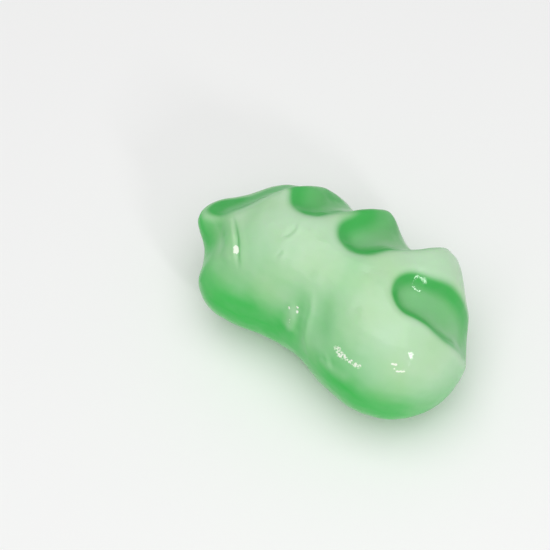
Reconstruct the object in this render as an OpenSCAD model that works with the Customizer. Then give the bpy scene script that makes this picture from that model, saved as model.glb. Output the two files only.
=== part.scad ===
// Dough-filled stress ball, held in the shape that a gripping hand gives it.
// The ball lies on its palm side, +Z up. +X runs along its length, from the
// index finger's end to the little finger's end, and +Y points to the
// knuckles. The origin is the middle of the flat patch it rests on. All in mm.

/* [Skin] */
// Wall of the rubber skin
skin_t = 2; // [1.6:0.1:2.4]
// Rounding where the sides roll into the flat resting patch
foot_round = 1.5; // [1:0.25:3]

/* [Filling] */
// Gap between the skin and the dough
fill_gap = 0.3; // [0.2:0.05:0.5]

/* [Grip] */
// Extra depth of the four finger channels, 0 for a firm grip
finger_press = 0; // [-1.5:0.25:0.5]
// Radius of the groove that pinches the waist
waist_r = 5.5; // [4:0.5:7]

/* [Fill port] */
// Radius of the hole that the dough goes in through
bore_r = 2.5; // [2:0.25:3]
// Radius of the plug's head
head_r = 3.8; // [3.6:0.1:4.4]
// Thickness of the plug's head
head_t = 1; // [0.8:0.1:1.2]
// Thickness of the adhesive bead under the head
seal_t = 0.3; // [0.2:0.05:0.4]
// Depth of the collar that grips the plug's stem
collar_h = 5; // [4.5:0.5:6]

/* [Surface steps] */
// Rings along the skin
rings = 52; // [36:4:56]
// Steps around each ring of the skin
sides = 60; // [48:4:64]

/* [Hidden] */
$fn = 64;

// Lobes of dough: centre, half-axes, width of the blend into those before
lobes = [
    [[-19, 3, 20], [22, 22.5, 22], 1],
    [[21.5, -2.5, 19.5], [22.5, 22, 22], 12],
    [[4, 6, 21], [33, 23.5, 23.5], 12],
    [[-37, -1, 26.5], [9.5, 9, 9], 7],
    [[-28, -10, 17.5], [11, 11, 11], 8],
    [[-3, 24, 32], [8, 8, 9], 8],
    [[20, 19, 30], [8, 8, 10], 8],
    [[-22, 17, 33], [7, 8, 8], 8]
];

// Finger channels, index to little finger: the path of the finger's middle
// from its tip, over the knuckle edge and down the back, then its radii
fingers = [
    [[[-44, 3, 39], [-29, 27, 40], [-22, 37, 25], [-20, 38, 6]], [8, 8.5, 8.5, 8.5]],
    [[[-17, 15, 46.5], [-10, 29, 40.5], [-5, 36, 26], [-4, 36, 6]], [7.5, 8.1, 8.4, 8.4]],
    [[[2, 12, 47], [11, 27, 40.5], [15, 34.5, 26], [16, 34.5, 6]], [7.2, 7.9, 8.2, 8.2]],
    [[[25, 4, 43.5], [38, 9, 37], [46, 13, 26], [48, 16, 8]], [5.9, 6.5, 7, 7]]
];
finger_blend = 4;
knuckle_blend = 8;

// Grooves: one end, other end, radius, blend. The waist, then the tuck in
// the index finger's end
grooves = [
    [[-13, -33, 8], [-5, -23, 42], waist_r, 8],
    [[-46, -15.6, 18], [-39.5, -9.6, 34], 4.5, 6]
];

// The rays that find the surface start on a spine inside the ball
spine = [20, -3];
spine_z = 20;
ray_len = 34;
halvings = 14;
flat_snap = 0.1;
tiny = 0.000001;
inner_rings = 32;
inner_sides = 44;

// Fill port, low on the knuckle side: where its ray starts and how it points
port_from = [-20, 3, 20];
port_turn = 112;
port_tilt = 115;
port_dir = [
    sin(port_tilt) * cos(port_turn),
    sin(port_tilt) * sin(port_turn),
    cos(port_tilt)
];
port_at = surface_point(port_from, port_dir, 0);
head_gap = 0.1;
collar_r = 5.5;
collar_top = 1.4;
barb_r = 4.2;
barb_h = 1.6;
barb_tip_r = 2;
barb_tip_h = 1;
pocket_gap = 0.4;
over = 3;

// Smooth minimum and maximum of two distances
function smin(a, b, k) =
    let (h = max(k - abs(a - b), 0) / k)
    min(a, b) - h * h * k / 4;
function smax(a, b, k) = -smin(-a, -b, k);

// Distance to an ellipsoid, negative inside
function lobe_d(p, c, r) =
    let (
        q = [for (i = [0:2]) (p[i] - c[i]) / r[i]],
        g = [for (i = [0:2]) q[i] / r[i]],
        k0 = norm(q),
        k1 = max(norm(g), tiny)
    )
    k0 * (k0 - 1) / k1;

// Distance to a round rod whose radius goes from ra to rb
function rod_d(p, a, b, ra, rb) =
    let (
        ab = b - a,
        h = max(0, min(1, (p - a) * ab / (ab * ab)))
    )
    norm(p - a - h * ab) - ra - h * (rb - ra);

// All the lobes up to number i, run together
function dough_d(p, i) =
    i == 0
    ? lobe_d(p, lobes[0][0], lobes[0][1])
    : smin(dough_d(p, i - 1), lobe_d(p, lobes[i][0], lobes[i][1]), lobes[i][2]);

// One finger, as rods run together at its joints
function finger_d(p, path, r, i) =
    let (d = rod_d(p, path[i], path[i + 1], r[i] + finger_press, r[i + 1] + finger_press))
    i == 0 ? d : smin(finger_d(p, path, r, i - 1), d, knuckle_blend);

// The dough with the first i grooves pressed in
function grooved_d(p, i) =
    i == 0
    ? dough_d(p, len(lobes) - 1)
    : let (g = grooves[i - 1])
      smax(grooved_d(p, i - 1), -rod_d(p, g[0], g[1], g[2], g[2]), g[3]);

// The grooved dough with the first i fingers pressed in
function gripped_d(p, i) =
    i == 0
    ? grooved_d(p, len(grooves))
    : let (f = fingers[i - 1])
      smax(gripped_d(p, i - 1), -finger_d(p, f[0], f[1], len(f[0]) - 2), finger_blend);

// Distance to the whole ball, cut flat where it rests
function ball_d(p) = smax(gripped_d(p, len(fingers)), -p[2], foot_round);

// Length of the ray from o along d to the surface that lies depth inside
function ray_t(o, d, depth, lo, hi, n) =
    n == 0
    ? (lo + hi) / 2
    : let (mid = (lo + hi) / 2)
      ball_d(o + mid * d) + depth < 0
      ? ray_t(o, d, depth, mid, hi, n - 1)
      : ray_t(o, d, depth, lo, mid, n - 1);

function surface_point(o, d, depth) =
    let (p = o + ray_t(o, d, depth, 0, ray_len, halvings) * d)
    [p[0], p[1], p[2] < flat_snap ? 0 : p[2]];

// Surface point at u degrees from the +X end and w degrees around the spine
function at_angle(u, w, depth) =
    surface_point(
        [spine[0] * cos(u), spine[1] * cos(u), spine_z],
        [cos(u), sin(u) * cos(w), sin(u) * sin(w)],
        depth
    );

// A four-cornered patch as two triangles, split on its shorter diagonal if
// shorter is true, and always the same way if it is false
function patch(pts, a, b, c, d, shorter) =
    shorter && norm(pts[a] - pts[c]) > norm(pts[b] - pts[d])
    ? [[a, b, d], [b, c, d]]
    : [[a, b, c], [a, c, d]];

// Closed surface that lies depth inside the ball's own. Only the outermost
// one picks its diagonals, so the dough's patches follow the skin's inside.
module ball(depth, n_rings, n_sides) {
    outermost = depth == 0;
    grid = [
        for (i = [1:n_rings], j = [0:n_sides - 1])
            at_angle(180 * i / (n_rings + 1), 360 * j / n_sides, depth)
    ];
    pts = concat(grid, [at_angle(0, 0, depth)], [at_angle(180, 0, depth)]);
    near = len(grid);
    far = near + 1;
    last = (n_rings - 1) * n_sides;
    near_fan = [for (j = [0:n_sides - 1]) [near, (j + 1) % n_sides, j]];
    far_fan = [for (j = [0:n_sides - 1]) [far, last + j, last + (j + 1) % n_sides]];
    band = [
        for (i = [0:n_rings - 2], j = [0:n_sides - 1])
            let (k = (j + 1) % n_sides, a = i * n_sides, b = a + n_sides)
            each patch(pts, a + j, a + k, b + k, b + j, outermost)
    ];
    polyhedron(points = pts, faces = concat(near_fan, band, far_fan));
}

// Frame of the fill port: origin on the surface, +Z pointing out
module port() {
    translate(port_at)
        rotate([0, port_tilt, port_turn])
            children();
}

// Hole, seat for the head, and the space the stem passes through
module port_cut() {
    translate([0, 0, -collar_h - over])
        cylinder(h = collar_h + 2 * over, r = bore_r);
    translate([0, 0, -head_t - seal_t])
        cylinder(h = head_t + seal_t + over, r = head_r + head_gap);
}

// Hollow skin with a collar moulded inside it around the fill port
module outer_skin() {
    color([0.62, 0.85, 0.62])
        difference() {
            ball(0, rings, sides);
            difference() {
                ball(skin_t, inner_rings, inner_sides);
                port()
                    translate([0, 0, -collar_h])
                        cylinder(h = collar_h - collar_top, r = collar_r);
            }
            port() port_cut();
        }
}

// Dough that fills the skin, set back around the collar and the plug's barb
module dough_filling() {
    pocket_h = collar_h + barb_h + barb_tip_h + pocket_gap;
    color([0.86, 0.93, 0.82])
        difference() {
            ball(skin_t + fill_gap, inner_rings, inner_sides);
            port()
                translate([0, 0, -pocket_h])
                    cylinder(h = pocket_h + over, r = collar_r + pocket_gap);
        }
}

// Turned plug: domed head, stem and barb
module fill_plug() {
    edge_drop = 0.4;
    dome_r = 2.2;
    color([0.45, 0.72, 0.5])
        port()
            rotate_extrude()
                polygon([
                    [0, -collar_h - barb_h - barb_tip_h],
                    [barb_tip_r, -collar_h - barb_h - barb_tip_h],
                    [barb_r, -collar_h - barb_h],
                    [barb_r, -collar_h],
                    [bore_r, -collar_h],
                    [bore_r, -head_t],
                    [head_r, -head_t],
                    [head_r, -edge_drop],
                    [dome_r, 0],
                    [0, 0]
                ]);
}

// Bead of adhesive between the plug's head and its seat
module plug_seal() {
    color([0.93, 0.93, 0.85])
        port()
            translate([0, 0, -head_t - seal_t])
                difference() {
                    cylinder(h = seal_t, r = head_r);
                    translate([0, 0, -over])
                        cylinder(h = seal_t + 2 * over, r = bore_r);
                }
}

outer_skin();
dough_filling();
fill_plug();
plug_seal();
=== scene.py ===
# Looks of a dough-filled stress ball, held in the shape that a gripping hand gives it
import math

import bpy
import numpy as np
from mathutils import Matrix, Vector


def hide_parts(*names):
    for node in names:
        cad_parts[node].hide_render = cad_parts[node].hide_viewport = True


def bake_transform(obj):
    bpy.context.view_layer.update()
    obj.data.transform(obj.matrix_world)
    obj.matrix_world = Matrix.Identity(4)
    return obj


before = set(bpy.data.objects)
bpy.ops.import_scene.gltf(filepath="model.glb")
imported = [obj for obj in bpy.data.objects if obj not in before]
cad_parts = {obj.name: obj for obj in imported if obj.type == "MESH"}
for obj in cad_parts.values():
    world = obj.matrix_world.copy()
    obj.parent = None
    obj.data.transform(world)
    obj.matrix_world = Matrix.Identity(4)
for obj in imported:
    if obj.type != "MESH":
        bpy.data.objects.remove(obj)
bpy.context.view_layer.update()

MM = 0.001
SKIN_T = 2.0
FILL_GAP = 0.3

# ---------------------------------------------------------------------------
# The ball's shape, in mm: lobes of dough, finger channels and grooves
# ---------------------------------------------------------------------------

# Lobes of dough: centre, half-axes, blend into the lobes before
LOBES = [
    ((-19, 3, 20), (22, 22.5, 22), 1),
    ((21.5, -2.5, 19.5), (22.5, 22, 22), 12),
    ((4, 6, 21), (33, 23.5, 23.5), 12),
    ((-37, -1, 26.5), (9.5, 9, 9), 7),
    ((-28, -10, 17.5), (11, 11, 11), 8),
    ((-3, 24, 32), (8, 8, 9), 8),
    ((20, 19, 30), (8, 8, 10), 8),
    ((-22, 17, 33), (7, 8, 8), 8),
]
# Finger channels, index to little finger: path of the finger's middle from its
# tip, and its radii along that path
FINGERS = [
    (((-44, 3, 39), (-29, 27, 40), (-22, 37, 25), (-20, 38, 6)), (8, 8.5, 8.5, 8.5)),
    (((-17, 15, 46.5), (-10, 29, 40.5), (-5, 36, 26), (-4, 36, 6)), (7.5, 8.1, 8.4, 8.4)),
    (((2, 12, 47), (11, 27, 40.5), (15, 34.5, 26), (16, 34.5, 6)), (7.2, 7.9, 8.2, 8.2)),
    (((25, 4, 43.5), (38, 9, 37), (46, 13, 26), (48, 16, 8)), (5.9, 6.5, 7, 7)),
]
# Grooves of the waist and of the tucked-in end: one end, other end, radius, blend
GROOVES = [
    ((-13, -33, 8), (-5, -23, 42), 5.5, 8),
    ((-46, -15.6, 18), (-39.5, -9.6, 34), 4.5, 6),
]
FINGER_BLEND = 4
KNUCKLE_BLEND = 8
FOOT_ROUND = 1.5

# The rays that find the surface start on a spine inside the ball
SPINE = (20, -3, 20)
RAY_LEN = 34.0
HALVINGS = 20

# Fill port: where its ray starts, its direction, its sizes
PORT_FROM = (-20, 3, 20)
PORT_TURN = math.radians(112)
PORT_TILT = math.radians(115)
HEAD_R = 3.8
COLLAR_R = 5.5
COLLAR_H = 5.0
# The room for the collar and the plug's barb in the dough
POCKET_H = 8.0
POCKET_GAP = 0.4
POCKET_BLEND = 0.4


def smin(a, b, k):
    """The smaller of two distances, run together over a width of k."""
    h = np.maximum(k - np.abs(a - b), 0) / k
    return np.minimum(a, b) - h * h * k / 4


def smax(a, b, k):
    return -smin(-a, -b, k)


def smooth_step(x, low, high):
    t = np.clip((x - low) / (high - low), 0, 1)
    return t * t * (3 - 2 * t)


def lobe_d(p, centre, half):
    """Distance to an ellipsoid, negative inside."""
    q = (p - np.array(centre, float)) / np.array(half, float)
    k0 = np.linalg.norm(q, axis=-1)
    k1 = np.linalg.norm(q / np.array(half, float), axis=-1)
    return k0 * (k0 - 1) / np.maximum(k1, 1e-6)


def rod_d(p, a, b, ra, rb):
    """Distance to a round rod from a to b, whose radius goes from ra to rb."""
    a, b = np.array(a, float), np.array(b, float)
    ab = b - a
    h = np.clip((p - a) @ ab / (ab @ ab), 0, 1)
    return np.linalg.norm(p - a - h[..., None] * ab, axis=-1) - ra - h * (rb - ra)


def dough_d(p):
    """Distance to the lobes of dough, run together."""
    d = lobe_d(p, LOBES[0][0], LOBES[0][1])
    for centre, half, blend in LOBES[1:]:
        d = smin(d, lobe_d(p, centre, half), blend)
    return d


def finger_d(p, path, r):
    """Distance to one finger, its joints run together."""
    d = rod_d(p, path[0], path[1], r[0], r[1])
    for i in range(1, len(path) - 1):
        d = smin(d, rod_d(p, path[i], path[i + 1], r[i], r[i + 1]), KNUCKLE_BLEND)
    return d


def grooved_d(p):
    """Distance to the dough with its grooves, before any finger presses in."""
    d = dough_d(p)
    for a, b, r, blend in GROOVES:
        d = smax(d, -rod_d(p, a, b, r, r), blend)
    return d


def ball_d(p):
    """Distance to the whole ball, cut flat where it rests."""
    d = grooved_d(p)
    for path, r in FINGERS:
        d = smax(d, -finger_d(p, path, r), FINGER_BLEND)
    return smax(d, -p[..., 2], FOOT_ROUND)


def outward(p, dist, step=0.05):
    """Unit vectors along which dist grows fastest."""
    g = np.stack(
        [
            dist(p + np.eye(3)[i] * step) - dist(p - np.eye(3)[i] * step)
            for i in range(3)
        ],
        axis=-1,
    )
    return g / np.maximum(np.linalg.norm(g, axis=-1, keepdims=True), 1e-9)


def cast(start, ray, dist):
    """Where each ray leaves the shape."""
    lo, hi = np.zeros(len(ray)), np.full(len(ray), RAY_LEN)
    for _ in range(HALVINGS):
        mid = (lo + hi) / 2
        inside = dist(start + mid[:, None] * ray) < 0
        lo, hi = np.where(inside, mid, lo), np.where(inside, hi, mid)
    return start + ((lo + hi) / 2)[:, None] * ray


def rays(u, w):
    """Rays from the spine: u degrees from the +X end, w degrees around it."""
    u, w = np.radians(u), np.radians(w)
    ray = np.stack([np.cos(u), np.sin(u) * np.cos(w), np.sin(u) * np.sin(w)], axis=-1)
    start = np.stack([SPINE[0] * np.cos(u), SPINE[1] * np.cos(u), 0 * u + SPINE[2]], axis=-1)
    return start, ray


def port_frame():
    """Middle of the fill port on the surface, and the way it points."""
    out = np.array(
        [
            math.sin(PORT_TILT) * math.cos(PORT_TURN),
            math.sin(PORT_TILT) * math.sin(PORT_TURN),
            math.cos(PORT_TILT),
        ]
    )
    return cast(np.array([PORT_FROM], float), out[None], ball_d)[0], out


PORT_AT, PORT_OUT = port_frame()


def closed_grid(rings, sides, dist):
    """Closed surface of dist as points and faces, with a pole at each end."""
    u = (np.arange(rings) + 1) / (rings + 1) * 180
    w = np.arange(sides) / sides * 360
    uu, ww = np.meshgrid(u, w, indexing="ij")
    start, ray = rays(np.append(uu.ravel(), [0.0, 180.0]), np.append(ww.ravel(), [0.0, 0.0]))
    points = cast(start, ray, dist)
    i, j = np.meshgrid(np.arange(rings - 1), np.arange(sides), indexing="ij")
    k = (j + 1) % sides
    here, ahead = i * sides, (i + 1) * sides
    band = np.stack([here + j, ahead + j, ahead + k, here + k], axis=-1)
    faces = band.reshape(-1, 4).tolist()
    near, far, last = rings * sides, rings * sides + 1, (rings - 1) * sides
    faces += [[near, j, (j + 1) % sides] for j in range(sides)]
    faces += [[far, last + (j + 1) % sides, last + j] for j in range(sides)]
    return points, faces


# ---------------------------------------------------------------------------
# Fine relief of the skin
# ---------------------------------------------------------------------------

# Folds: path as (u, w) in degrees, depth, width, then the lips beside it as
# (height, how far to the side, width), all in mm. + is left of the path.
# A fold of negative depth is a ridge.
FOLDS = [
    # sharp crease at the index finger's end, and the roll of skin beside it
    (((140, 101), (134, 110), (129, 118), (125.5, 126), (123, 133), (121, 142)), 0.5, 0.5,
     ((1.1, -2.7, 3.3), (0.2, -1.1, 0.9), (0.15, 1.5, 1.2))),
    # faint wrinkles on the top
    (((110, 82), (109, 90), (110, 96), (112, 99)), 0.16, 0.5, ((0.10, 1.0, 0.8),)),
    (((109, 106), (109, 110), (110, 114)), 0.12, 0.5, ((0.08, 1.0, 0.8),)),
    # folds where the waist gathers the skin
    (((99, 128), (96, 142), (94, 152), (94, 164), (97, 184)), -0.25, 1.2, ()),
    (((94, 118), (93, 134), (91, 150), (88, 168), (89, 190)), 0.25, 1.5, ()),
    (((92, 114), (88, 130), (86.5, 144), (84.5, 160), (80, 184)), -0.35, 1.0, ()),
    (((88, 108), (83, 124), (80, 138), (77, 156)), 0.35, 2.8, ()),
    (((75, 152), (73.5, 158), (71, 165)), -0.3, 0.9, ((-0.12, 1.5, 0.8),)),
]
FOLD_STEPS = 160
FOLD_REACH = 6.0
# Share of a fold's length over which each of its ends fades out
FOLD_TAPER = 0.35
DEEPEST_FOLD = 0.5

# Painted glints: where the skin is finely crinkled in its coat's bump and painted white as
# highlights: from and to as (u, w), reach in mm, and how strongly. Above 1 it is white all
# through.
CRINKLES_AND_GLINTS = [
    # painted glint streak along the shoulder of the little finger's lobe
    ((71.5, 143), (69.5, 145), 1.9, 1.0),
    ((69.5, 144.5), (62, 144.5), 1.4, 1.0),
    # painted glint flecks in the folds at the waist
    ((97.2, 141.5), (97, 142.5), 0.35, 1.6),
    ((94, 137), (93.9, 137.6), 0.3, 1.8),
    ((93.3, 140.6), (93.1, 141.4), 0.35, 1.8),
    ((95, 149), (95, 154), 0.5, 0.8),
    # painted glint flecks on top of the little finger's lobe
    ((51.2, 130.3), (49.3, 129.2), 0.35, 1.5),
    ((49.3, 132.8), (49.2, 133.2), 0.28, 1.5),
    ((47.7, 133.9), (44.8, 131.2), 0.4, 1.4),
    # painted highlight: gleam on the roll of skin beside the sharp crease
    ((126.8, 125.3), (125.9, 127.7), 0.75, 2.0),
]
# Where the painted flank shade is eased off, so the skin is painted lighter there, in the same
# form
LIT_PATCHES = [
    ((141, 118), (138, 136), 3.0, 0.3),
    ((84, 160), (80, 150), 6.0, 0.4),
    ((95, 143), (94.5, 157), 2.2, 0.5),
    ((76, 161), (66, 159), 2.2, 0.3),
    ((127, 134), (101, 137), 3.6, 0.4),
]
# Where extra painted shade makes the skin greener, in the same form
SHADED_PATCHES = [
    ((140, 170), (122, 166), 4.0, 0.7),
    ((122, 166), (112, 162), 3.0, 0.7),
    ((54, 174), (40, 172), 3.5, 0.5),
    ((82, 86), (80, 100), 4.5, 0.22),
]

# Lumps all over the skin, and those of the dough: height in mm, number of waves
# added up, their length in mm, seed
SKIN_LUMPS = [(0.12, 24, 16, 3), (0.02, 40, 4, 5)]
DOUGH_LUMPS = (0.06, 30, 7, 11)
# The dough is sunk by this much, so that its lumps stay clear of the skin
DOUGH_SINK = 0.12
# Heights above the resting patch between which the relief fades in
FOOT_FADE = (0.2, 4.0)

# Seat of the plug's head: its depth, how far from the head's edge its wall runs,
# then the lip's rise, its distance from the edge and its width
SEAT_DEPTH = 1.1
SEAT_WALL = (-0.2, 0.5)
LIP_RISE, LIP_AT, LIP_WIDTH = 0.12, 0.9, 0.5
# Width around the head over which the other relief fades out
CALM_WIDTH = 3.0
# Points further below the port's mouth than this lie on the ball's other side
PORT_SIDE = -3.0


def smooth_path(knots, steps):
    """Catmull-Rom curve through the knots."""
    k = np.array(knots, float)
    k = np.concatenate([[2 * k[0] - k[1]], k, [2 * k[-1] - k[-2]]])
    t = np.linspace(0, len(knots) - 1 - 1e-9, steps)
    i, f = t.astype(int), (t % 1)[:, None]
    a, b, c, d = k[i], k[i + 1], k[i + 2], k[i + 3]
    return 0.5 * (2 * b + (c - a) * f + (2 * a - 5 * b + 4 * c - d) * f**2
                  + (3 * b - a - 3 * c + d) * f**3)


def fold_line(knots):
    """A fold's path on the surface, and the way it runs at each step."""
    uw = smooth_path(knots, FOLD_STEPS)
    line = cast(*rays(uw[:, 0], uw[:, 1]), ball_d)
    along = np.gradient(line, axis=0)
    return line, along / np.linalg.norm(along, axis=1, keepdims=True)


def near_line(p, line):
    """Indices of the points that a fold along the line can reach."""
    middle = line.mean(axis=0)
    span = np.linalg.norm(line - middle, axis=1).max() + FOLD_REACH
    return np.nonzero(np.linalg.norm(p - middle, axis=1) < span)[0]


def beside_line(p, n, line, along):
    """How far each point lies to the left of the line, and where along it, 0 to 1."""
    gap = p[:, None] - line[None]
    best = np.linalg.norm(gap, axis=2).argmin(axis=1)
    off = gap[np.arange(len(p)), best]
    side = np.einsum("ij,ij->i", np.cross(n, along[best]), off)
    ahead = np.einsum("ij,ij->i", along[best], off)
    return np.sign(side) * np.hypot(side, ahead), best / (FOLD_STEPS - 1)


def fold_relief(p, n):
    """Height that the folds add at each point, and how deep in a fold it is."""
    height, depth_of = np.zeros(len(p)), np.zeros(len(p))
    for knots, depth, width, lips in FOLDS:
        line, along = fold_line(knots)
        near = near_line(p, line)
        side, t = beside_line(p[near], n[near], line, along)
        fade = smooth_step(t, 0, FOLD_TAPER) * smooth_step(1 - t, 0, FOLD_TAPER)
        valley = np.exp(-((side / width) ** 2))
        bump = -depth * valley
        for rise, at, spread in lips:
            bump = bump + rise * np.exp(-(((side - at) / spread) ** 2))
        height[near] += fade * bump
        depth_of[near] += fade * depth * valley
    return height, depth_of


def marked(p, marks):
    """How strongly each point is marked, by the mark that is strongest there."""
    most = np.zeros(len(p))
    for a, b, reach, strength in marks:
        ends = np.array([a, b], float)
        start, end = cast(*rays(ends[:, 0], ends[:, 1]), ball_d)
        off = rod_d(p, start, end, 0, 0) / reach
        most = np.maximum(most, strength * np.exp(-(off**2)))
    return most


def waves(p, count, length, seed):
    """Smooth seeded noise: a sum of plane waves about length mm long."""
    rng = np.random.default_rng(seed)
    total = np.zeros(len(p))
    for _ in range(count):
        way = rng.normal(size=3)
        way *= 2 * math.pi / (length * rng.uniform(0.7, 1.5) * np.linalg.norm(way))
        total += np.sin(p @ way + rng.uniform(0, 2 * math.pi))
    return total / math.sqrt(count / 2)


def port_relief(p):
    """The plug's seat and its lip, and how much of the other relief stays."""
    off = p - PORT_AT
    high = off @ PORT_OUT
    edge = np.linalg.norm(off - high[:, None] * PORT_OUT, axis=1) - HEAD_R
    facing = high > PORT_SIDE
    seat = np.where(facing, 1 - smooth_step(edge, *SEAT_WALL), 0)
    lip = np.where(facing, np.exp(-(((edge - LIP_AT) / LIP_WIDTH) ** 2)), 0)
    calm = np.where(facing, smooth_step(edge, 0, CALM_WIDTH), 1)
    return LIP_RISE * lip - SEAT_DEPTH * seat, calm


# ---------------------------------------------------------------------------
# What the skin's colour follows: painted light and shade, and painted glints
# ---------------------------------------------------------------------------

# Painted light and shade: the skin is painted milky where it faces this way, the way the light
# comes from, and deep green as painted shade on its flanks
LIT_WAY = np.array([0.35, 0.09, 0.93])
# How far it faces that way where the painted flank shade starts and where it is full
LIT_FROM, SHADED_FROM = 0.82, 0.08
SHADE_CURVE = 1.2
# Where the painted shade's green eases off again towards the underside, and how much is left
UNDERSIDE = (-0.6, -0.1)
UNDERSIDE_SHADE = 0.62
# How deep a finger has to press, in mm, for the dent's rim to take the painted shadow's green,
# then how deep for its floor to ease off, and by how much
DENT_RIM = (0.05, 1.3)
DENT_FLOOR = (2.0, 5.0)
DENT_EASE = 0.35


def dent_shadow(p):
    """Painted shadow of the fingers: how strongly a finger presses each point, most of all near
    a dent's rim, where the dent is painted deep green.
    """
    pressed = -grooved_d(p)
    return smooth_step(pressed, *DENT_RIM) * (1 - DENT_EASE * smooth_step(pressed, *DENT_FLOOR))


def flank_shading(p, n, turned):
    """How much painted flank shade each point gets, by how far it faces away from the light,
    from the plain and the wrinkled normals.
    """
    top = (turned @ LIT_WAY) * 0.5 + (n @ LIT_WAY) * 0.5
    flank_shade = np.clip((LIT_FROM - top) / (LIT_FROM - SHADED_FROM), 0, 1) ** SHADE_CURVE
    flank_shade *= UNDERSIDE_SHADE + (1 - UNDERSIDE_SHADE) * smooth_step(top, *UNDERSIDE)
    flank_shade *= 1 - marked(p, LIT_PATCHES)
    return 1 - (1 - flank_shade) * (1 - marked(p, SHADED_PATCHES))


# ---------------------------------------------------------------------------
# Meshes
# ---------------------------------------------------------------------------

# Rings along each surface, and steps around each ring
SKIN_GRID = (320, 460)
DOUGH_GRID = (110, 160)


def make_mesh(name, points, faces):
    """Smooth-shaded mesh object from points in mm."""
    mesh = bpy.data.meshes.new(name)
    mesh.from_pydata((points * MM).tolist(), [], faces)
    mesh.polygons.foreach_set("use_smooth", np.ones(len(faces), bool))
    mesh.update()
    obj = bpy.data.objects.new(name, mesh)
    bpy.context.scene.collection.objects.link(obj)
    return obj


def keep_value(obj, name, values):
    """Keeps one value for each point of the mesh, for its material to read."""
    attribute = obj.data.attributes.new(name, "FLOAT", "POINT")
    attribute.data.foreach_set("value", np.asarray(values, np.float32))


def mesh_normals(obj):
    normals = np.empty(len(obj.data.vertices) * 3, np.float32)
    obj.data.vertex_normals.foreach_get("vector", normals)
    return normals.reshape(-1, 3)


def make_skin():
    """The glossy skin, with its folds, and a seat around the plug's head."""
    points, faces = closed_grid(*SKIN_GRID, ball_d)
    n = outward(points, ball_d)
    folds, crease = fold_relief(points, n)
    lumps = sum(height * waves(points, *form) for height, *form in SKIN_LUMPS)
    port, calm = port_relief(points)
    height = smooth_step(points[:, 2], *FOOT_FADE) * calm * (folds + lumps) + port
    skin = make_mesh("skin_sculpt", points + height[:, None] * n, faces)
    # painted shadow of the fingers in the dents
    keep_value(skin, "pressed", dent_shadow(points))
    # creases get painted shade
    keep_value(skin, "crease", np.clip(crease / DEEPEST_FOLD, 0, 1))
    # crinkles for the coat's bump, and painted white glints
    keep_value(skin, "crinkle_and_glint", marked(points, CRINKLES_AND_GLINTS))
    # painted shade on the flanks, painted pale where the skin faces the light
    keep_value(skin, "flank_shade", flank_shading(points, n, mesh_normals(skin)))
    return skin


def core_d(p):
    """Distance to the dough, set back around the collar and the plug's barb."""
    off = p - PORT_AT
    high = off @ PORT_OUT
    across = np.linalg.norm(off - high[..., None] * PORT_OUT, axis=-1)
    pocket = np.maximum(across - COLLAR_R - POCKET_GAP, -high - POCKET_H)
    return smax(ball_d(p) + SKIN_T + FILL_GAP, -pocket, POCKET_BLEND)


def make_core():
    """The dough, kneaded lumpy, that the skin holds."""
    points, faces = closed_grid(*DOUGH_GRID, core_d)
    n = outward(points, core_d)
    height, *form = DOUGH_LUMPS
    lumps = height * waves(points, *form) - DOUGH_SINK
    return make_mesh("dough_core", points + np.minimum(lumps, 0)[:, None] * n, faces)


# ---------------------------------------------------------------------------
# Materials
# ---------------------------------------------------------------------------


class Nodes:
    """Short calls for building one material."""

    def __init__(self, name):
        self.material = bpy.data.materials.new(name)
        self.material.use_nodes = True
        self.tree = self.material.node_tree
        self.shader = self.tree.nodes["Principled BSDF"]

    def add(self, kind, **settings):
        """A new node, with its inputs or else its properties set by name."""
        node = self.tree.nodes.new(kind)
        for key, value in settings.items():
            if key in node.inputs:
                node.inputs[key].default_value = value
            else:
                setattr(node, key, value)
        return node

    def link(self, source, target):
        self.tree.links.new(source, target)

    def set(self, **values):
        """Sets uniform values on the shader's own sockets."""
        for key, value in values.items():
            self.shader.inputs[key.replace("_", " ")].default_value = value

    def value(self, name):
        """A value kept on the mesh."""
        return self.add("ShaderNodeAttribute", attribute_name=name).outputs["Fac"]

    def coords(self):
        return self.add("ShaderNodeTexCoord").outputs["Object"]

    def noise(self, scale, detail=3.0):
        """Noise around 0.5, whose features are about 1 / scale metres long."""
        node = self.add("ShaderNodeTexNoise", Scale=scale, Detail=detail, Roughness=0.55)
        self.link(self.coords(), node.inputs["Vector"])
        return node.outputs["Fac"]

    def remap(self, source, given, wanted=(0, 1)):
        """The source, its given range stretched to the wanted one and cut off there."""
        node = self.add("ShaderNodeMapRange")
        self.link(source, node.inputs["Value"])
        for key, number in zip(("From Min", "From Max", "To Min", "To Max"), given + wanted):
            node.inputs[key].default_value = number
        return node.outputs["Result"]

    def math(self, operation, a, b):
        node = self.add("ShaderNodeMath", operation=operation)
        for socket, given in zip(node.inputs, (a, b)):
            if isinstance(given, (int, float)):
                socket.default_value = given
            else:
                self.link(given, socket)
        return node.outputs[0]

    def mix(self, factor, a, b):
        """Colours a and b mixed. The node has one A, B and Result for each data type."""
        node = self.add("ShaderNodeMix", data_type="RGBA")
        self.link(factor, node.inputs["Factor"])
        for socket, given in ((node.inputs[6], a), (node.inputs[7], b)):
            if isinstance(given, tuple):
                socket.default_value = given
            else:
                self.link(given, socket)
        return node.outputs[2]

    def bump(self, height, strength, distance, normal=None):
        node = self.add("ShaderNodeBump", Strength=strength, Distance=distance)
        self.link(height, node.inputs["Height"])
        if normal is not None:
            self.link(normal, node.inputs["Normal"])
        return node.outputs["Normal"]


def linear(r, g, b):
    """An sRGB colour, 0 to 255, as linear RGBA."""
    def one(c):
        c /= 255
        return c / 12.92 if c <= 0.04045 else ((c + 0.055) / 1.055) ** 2.4
    return one(r), one(g), one(b), 1.0


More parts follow.
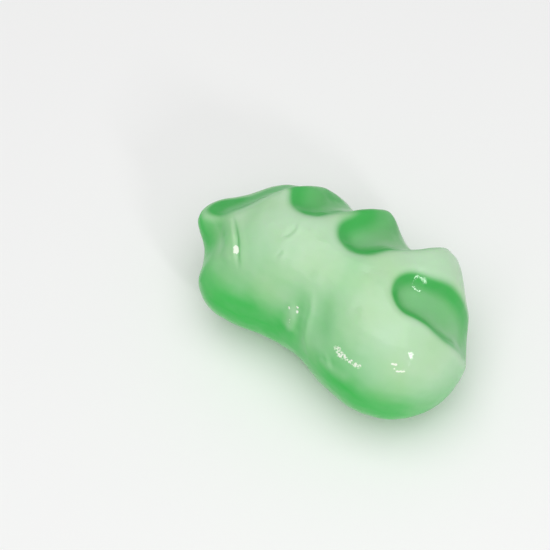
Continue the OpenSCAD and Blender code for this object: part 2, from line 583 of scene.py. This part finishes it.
def skin_colour(m, crumple_and_glint):
    """Painted light and shade: milky mint where lit to deep green painted shade on the flanks,
    richest green as painted shadow in dents and creases, white painted glints in crinkles.
    """
    # Colours: milky mint painted as lit, deep green for painted shade, the richest green for
    # painted shadow, near-white for painted glints
    mint, warm, deep = linear(188, 223, 187), linear(179, 218, 170), linear(36, 192, 69)
    shadow_green, glint_white = linear(33, 176, 66), linear(245, 254, 236)
    patches = m.remap(m.noise(55, 2.0), (0.42, 0.68), (0, 0.8))
    drift = m.remap(m.noise(80), (0.3, 0.7), (-0.06, 0.06))
    # painted flank shade, its edge shifted a little by noise
    flank_shade = m.remap(m.math("ADD", m.value("flank_shade"), drift), (0, 1))
    # painted shade in the creases
    crease = m.math("MULTIPLY", m.value("crease"), 0.35)
    # painted shadow of the fingers in the dents
    pressed = m.math("MULTIPLY", m.value("pressed"), 0.9)
    dent_and_crease_shade = m.remap(m.math("ADD", pressed, crease), (0, 1))
    coloured = m.mix(dent_and_crease_shade, m.mix(flank_shade, m.mix(patches, mint, warm), deep), shadow_green)
    # painted glints, white in the crinkles
    painted_glint = m.remap(crumple_and_glint, (0.34, 0.52), (0, 0.95))
    m.link(m.mix(painted_glint, coloured, glint_white), m.shader.inputs["Base Color"])


def skin_relief(m, crumple_and_glint):
    """Ripples and grain in the rubber, and crumpled creases in its wet-looking coat."""
    ripple = m.bump(m.noise(260, 2.0), 0.25, 0.35 * MM)
    grain = m.bump(m.noise(2600, 2.0), 0.12, 0.08 * MM, ripple)
    m.link(grain, m.shader.inputs["Normal"])
    m.link(m.bump(crumple_and_glint, 1.0, 0.4 * MM, grain), m.shader.inputs["Coat Normal"])


def skin_material():
    m = Nodes("mint_rubber_skin")
    # crinkle mask: bump in the coat, and painted white glints
    crumple_and_glint = m.math("MULTIPLY", m.noise(1500, 1.0), m.value("crinkle_and_glint"))
    skin_colour(m, crumple_and_glint)
    skin_relief(m, crumple_and_glint)
    smudge = m.remap(m.noise(140, 4.0), (0.35, 0.7), (0.36, 0.5))
    m.link(smudge, m.shader.inputs["Roughness"])
    m.set(IOR=1.4, Specular_IOR_Level=0.25)
    m.set(Coat_Weight=0.55, Coat_Roughness=0.05, Coat_IOR=1.45)
    m.set(Subsurface_Weight=0.35, Subsurface_Radius=(0.5, 1.0, 0.45), Subsurface_Scale=4 * MM)
    return m.material


def core_material():
    m = Nodes("soft_dough")
    pale, shade = linear(222, 232, 208), linear(176, 208, 168)
    speck = m.remap(m.noise(900, 4.0), (0.35, 0.7))
    m.link(m.mix(speck, pale, shade), m.shader.inputs["Base Color"])
    m.link(m.remap(m.noise(300), (0.3, 0.7), (0.6, 0.8)), m.shader.inputs["Roughness"])
    m.link(m.bump(m.noise(500, 4.0), 0.4, 0.5 * MM), m.shader.inputs["Normal"])
    m.set(Subsurface_Weight=0.3, Subsurface_Radius=(1.0, 1.0, 0.8), Subsurface_Scale=3 * MM)
    return m.material


def plug_material():
    m = Nodes("moulded_rubber_plug")
    light, dark = linear(126, 196, 134), linear(96, 172, 108)
    m.link(m.mix(m.noise(400), light, dark), m.shader.inputs["Base Color"])
    m.link(m.remap(m.noise(700), (0.3, 0.7), (0.38, 0.55)), m.shader.inputs["Roughness"])
    m.link(m.bump(m.noise(1800, 2.0), 0.2, 0.1 * MM), m.shader.inputs["Normal"])
    m.set(Coat_Weight=0.25, Coat_Roughness=0.15)
    return m.material


def seal_material():
    m = Nodes("cured_adhesive")
    clear, milky = linear(226, 232, 214), linear(196, 214, 186)
    m.link(m.mix(m.noise(600), clear, milky), m.shader.inputs["Base Color"])
    m.link(m.remap(m.noise(500), (0.3, 0.7), (0.15, 0.3)), m.shader.inputs["Roughness"])
    m.link(m.bump(m.noise(1200, 2.0), 0.25, 0.1 * MM), m.shader.inputs["Normal"])
    m.set(Coat_Weight=0.4, Coat_Roughness=0.1, Subsurface_Weight=0.3, Subsurface_Scale=1 * MM)
    return m.material


def floor_material():
    m = Nodes("pale_floor")
    pale, paler = (0.91, 0.91, 0.91, 1.0), (0.93, 0.93, 0.925, 1.0)
    m.link(m.mix(m.noise(6, 2.0), pale, paler), m.shader.inputs["Base Color"])
    m.set(Roughness=0.7)
    return m.material


def dress(obj, material):
    """Gives the object this material alone."""
    obj.data.materials.clear()
    obj.data.materials.append(material)


# ---------------------------------------------------------------------------
# The pieces
# ---------------------------------------------------------------------------

skin = make_skin()
dress(skin, skin_material())
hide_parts("outer_skin")

core = make_core()
dress(core, core_material())
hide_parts("dough_filling")

dress(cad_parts["fill_plug"], plug_material())
dress(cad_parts["plug_seal"], seal_material())

# Each piece's placement is baked into its mesh
for piece in (skin, core):
    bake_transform(piece)

# ---------------------------------------------------------------------------
# Stage, light and camera
# ---------------------------------------------------------------------------

AZIMUTH, ELEVATION = math.radians(35), math.radians(60)
CAMERA_DISTANCE = 0.45
PIXELS_PER_MM = 3.4
FRAME_SIZE = 550
SENSOR = 36.0
CLIP_START, CLIP_END = 0.01, 20
# Where the ball's middle sits in the frame, from its centre, in mm
AIM_RIGHT, AIM_UP = 17.0, -6.5
BALL_MIDDLE = Vector((0, 0, 21 * MM))
# How strongly the white surroundings light the ball, and how bright they look
WORLD_LIGHT = 0.39
BACKDROP = 0.85
FLOOR_HALF = 3.0
# Lights: name, the way they lie from the ball's middle, distance and size in m,
# power in W, roll. The small one gives the sharp highlight.
LIGHTS = [
    ("key_soft", (0.06, -0.16, 1.0), 1.3, (1.5, 1.5), 13.0, 0.0),
    ("key_small", (0.775, -0.395, 0.49), 0.9, (0.08, 0.17), 1.1, math.radians(19)),
]

right = Vector((math.cos(AZIMUTH), math.sin(AZIMUTH), 0))
back = Vector(
    (
        math.sin(AZIMUTH) * math.cos(ELEVATION),
        -math.cos(AZIMUTH) * math.cos(ELEVATION),
        math.sin(ELEVATION),
    )
)
up = back.cross(right)


def make_camera():
    """A camera that looks down on the ball, which sits off the frame's middle."""
    data = bpy.data.cameras.new("camera")
    data.sensor_width = SENSOR
    data.lens = SENSOR * PIXELS_PER_MM * CAMERA_DISTANCE / MM / FRAME_SIZE
    data.clip_start, data.clip_end = CLIP_START, CLIP_END
    camera = bpy.data.objects.new("camera", data)
    bpy.context.scene.collection.objects.link(camera)
    target = BALL_MIDDLE - AIM_RIGHT * MM * right - AIM_UP * MM * up
    turn = Matrix((right, up, back)).transposed().to_4x4()
    camera.matrix_world = Matrix.Translation(target + back * CAMERA_DISTANCE) @ turn
    bpy.context.scene.camera = camera


def make_light(name, way, distance, size, power, roll):
    """A rectangular light that faces the middle of the ball."""
    data = bpy.data.lights.new(name, "AREA")
    data.shape = "RECTANGLE"
    data.size, data.size_y = size
    data.energy = power
    light = bpy.data.objects.new(name, data)
    way = Vector(way).normalized()
    light.matrix_world = (
        Matrix.Translation(BALL_MIDDLE + way * distance)
        @ way.to_track_quat("Z", "Y").to_matrix().to_4x4()
        @ Matrix.Rotation(roll, 4, "Z")
    )
    bpy.context.scene.collection.objects.link(light)


def make_floor():
    """A plain floor for the ball to rest on."""
    mesh = bpy.data.meshes.new("floor")
    sides = ((-1, -1), (1, -1), (1, 1), (-1, 1))
    corners = [(x * FLOOR_HALF, y * FLOOR_HALF, 0) for x, y in sides]
    mesh.from_pydata(corners, [], [(0, 1, 2, 3)])
    floor = bpy.data.objects.new("floor", mesh)
    bpy.context.scene.collection.objects.link(floor)
    dress(floor, floor_material())


def make_world():
    """White surroundings, which look brighter to the camera than they light the ball."""
    world = bpy.data.worlds.new("studio")
    world.use_nodes = True
    tree = world.node_tree
    background = tree.nodes["Background"]
    background.inputs["Color"].default_value = (1.0, 1.0, 1.0, 1.0)
    seen = tree.nodes.new("ShaderNodeLightPath")
    level = tree.nodes.new("ShaderNodeMapRange")
    level.inputs["To Min"].default_value = WORLD_LIGHT
    level.inputs["To Max"].default_value = BACKDROP
    tree.links.new(seen.outputs["Is Camera Ray"], level.inputs["Value"])
    tree.links.new(level.outputs["Result"], background.inputs["Strength"])
    bpy.context.scene.world = world


make_camera()
make_floor()
make_world()
for light in LIGHTS:
    make_light(*light)
bpy.context.scene.view_settings.view_transform = "Standard"
